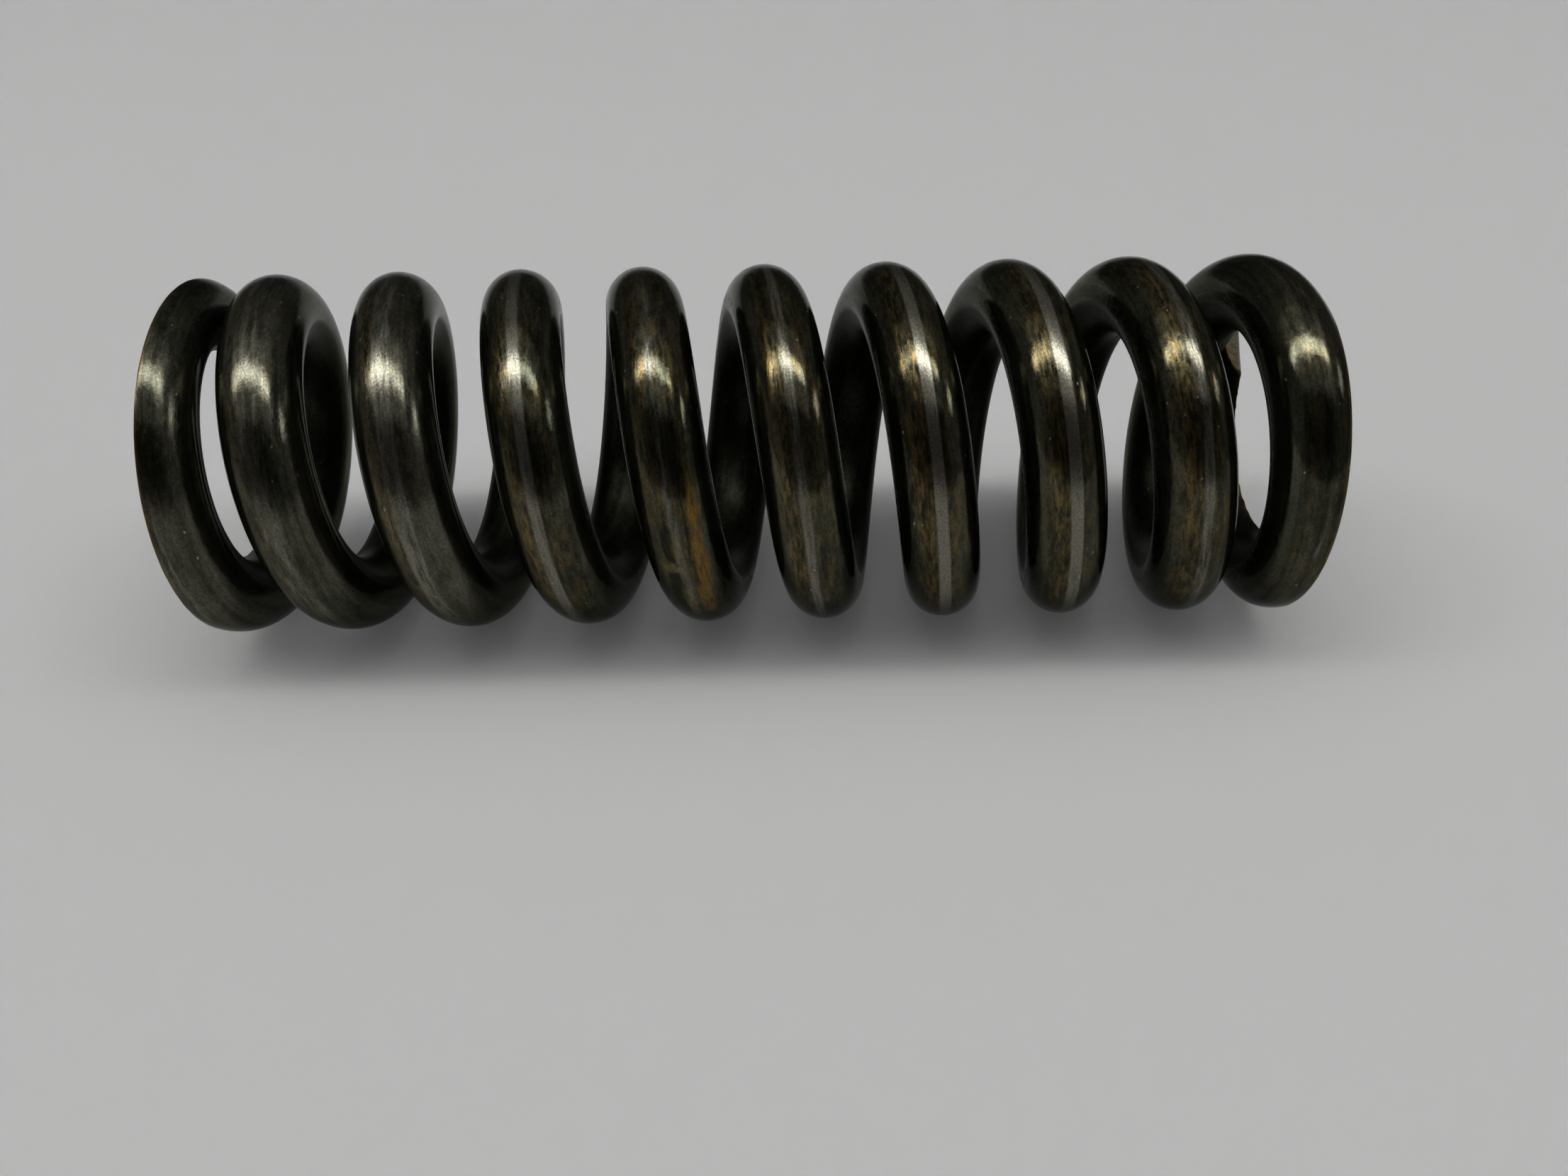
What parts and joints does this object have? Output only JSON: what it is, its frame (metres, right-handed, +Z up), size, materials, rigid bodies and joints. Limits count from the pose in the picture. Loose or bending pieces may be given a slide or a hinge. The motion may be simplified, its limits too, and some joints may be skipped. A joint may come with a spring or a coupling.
{
  "type": "compression spring",
  "caption": "Helical compression spring of round dark spring-steel wire, wound right-handed, with closed ground ends that stand flat.",
  "frame": {"origin": "middle of the lower ground seat, on the spring's axis", "axes": "+Z up the spring's axis from the lower ground seat to the upper one; both wire ends lie 195.5 degrees from +X towards +Y"},
  "size_m": [0.024, 0.024, 0.072],
  "materials": {
    "spring_steel": "dark oil-tempered spring steel with drawing lines along the wire, a grey rubbed stripe, brown oxide and a little rust"
  },
  "bodies": {
    "root": {"coil_spring": "spring_steel"}
  },
  "joints": []
}
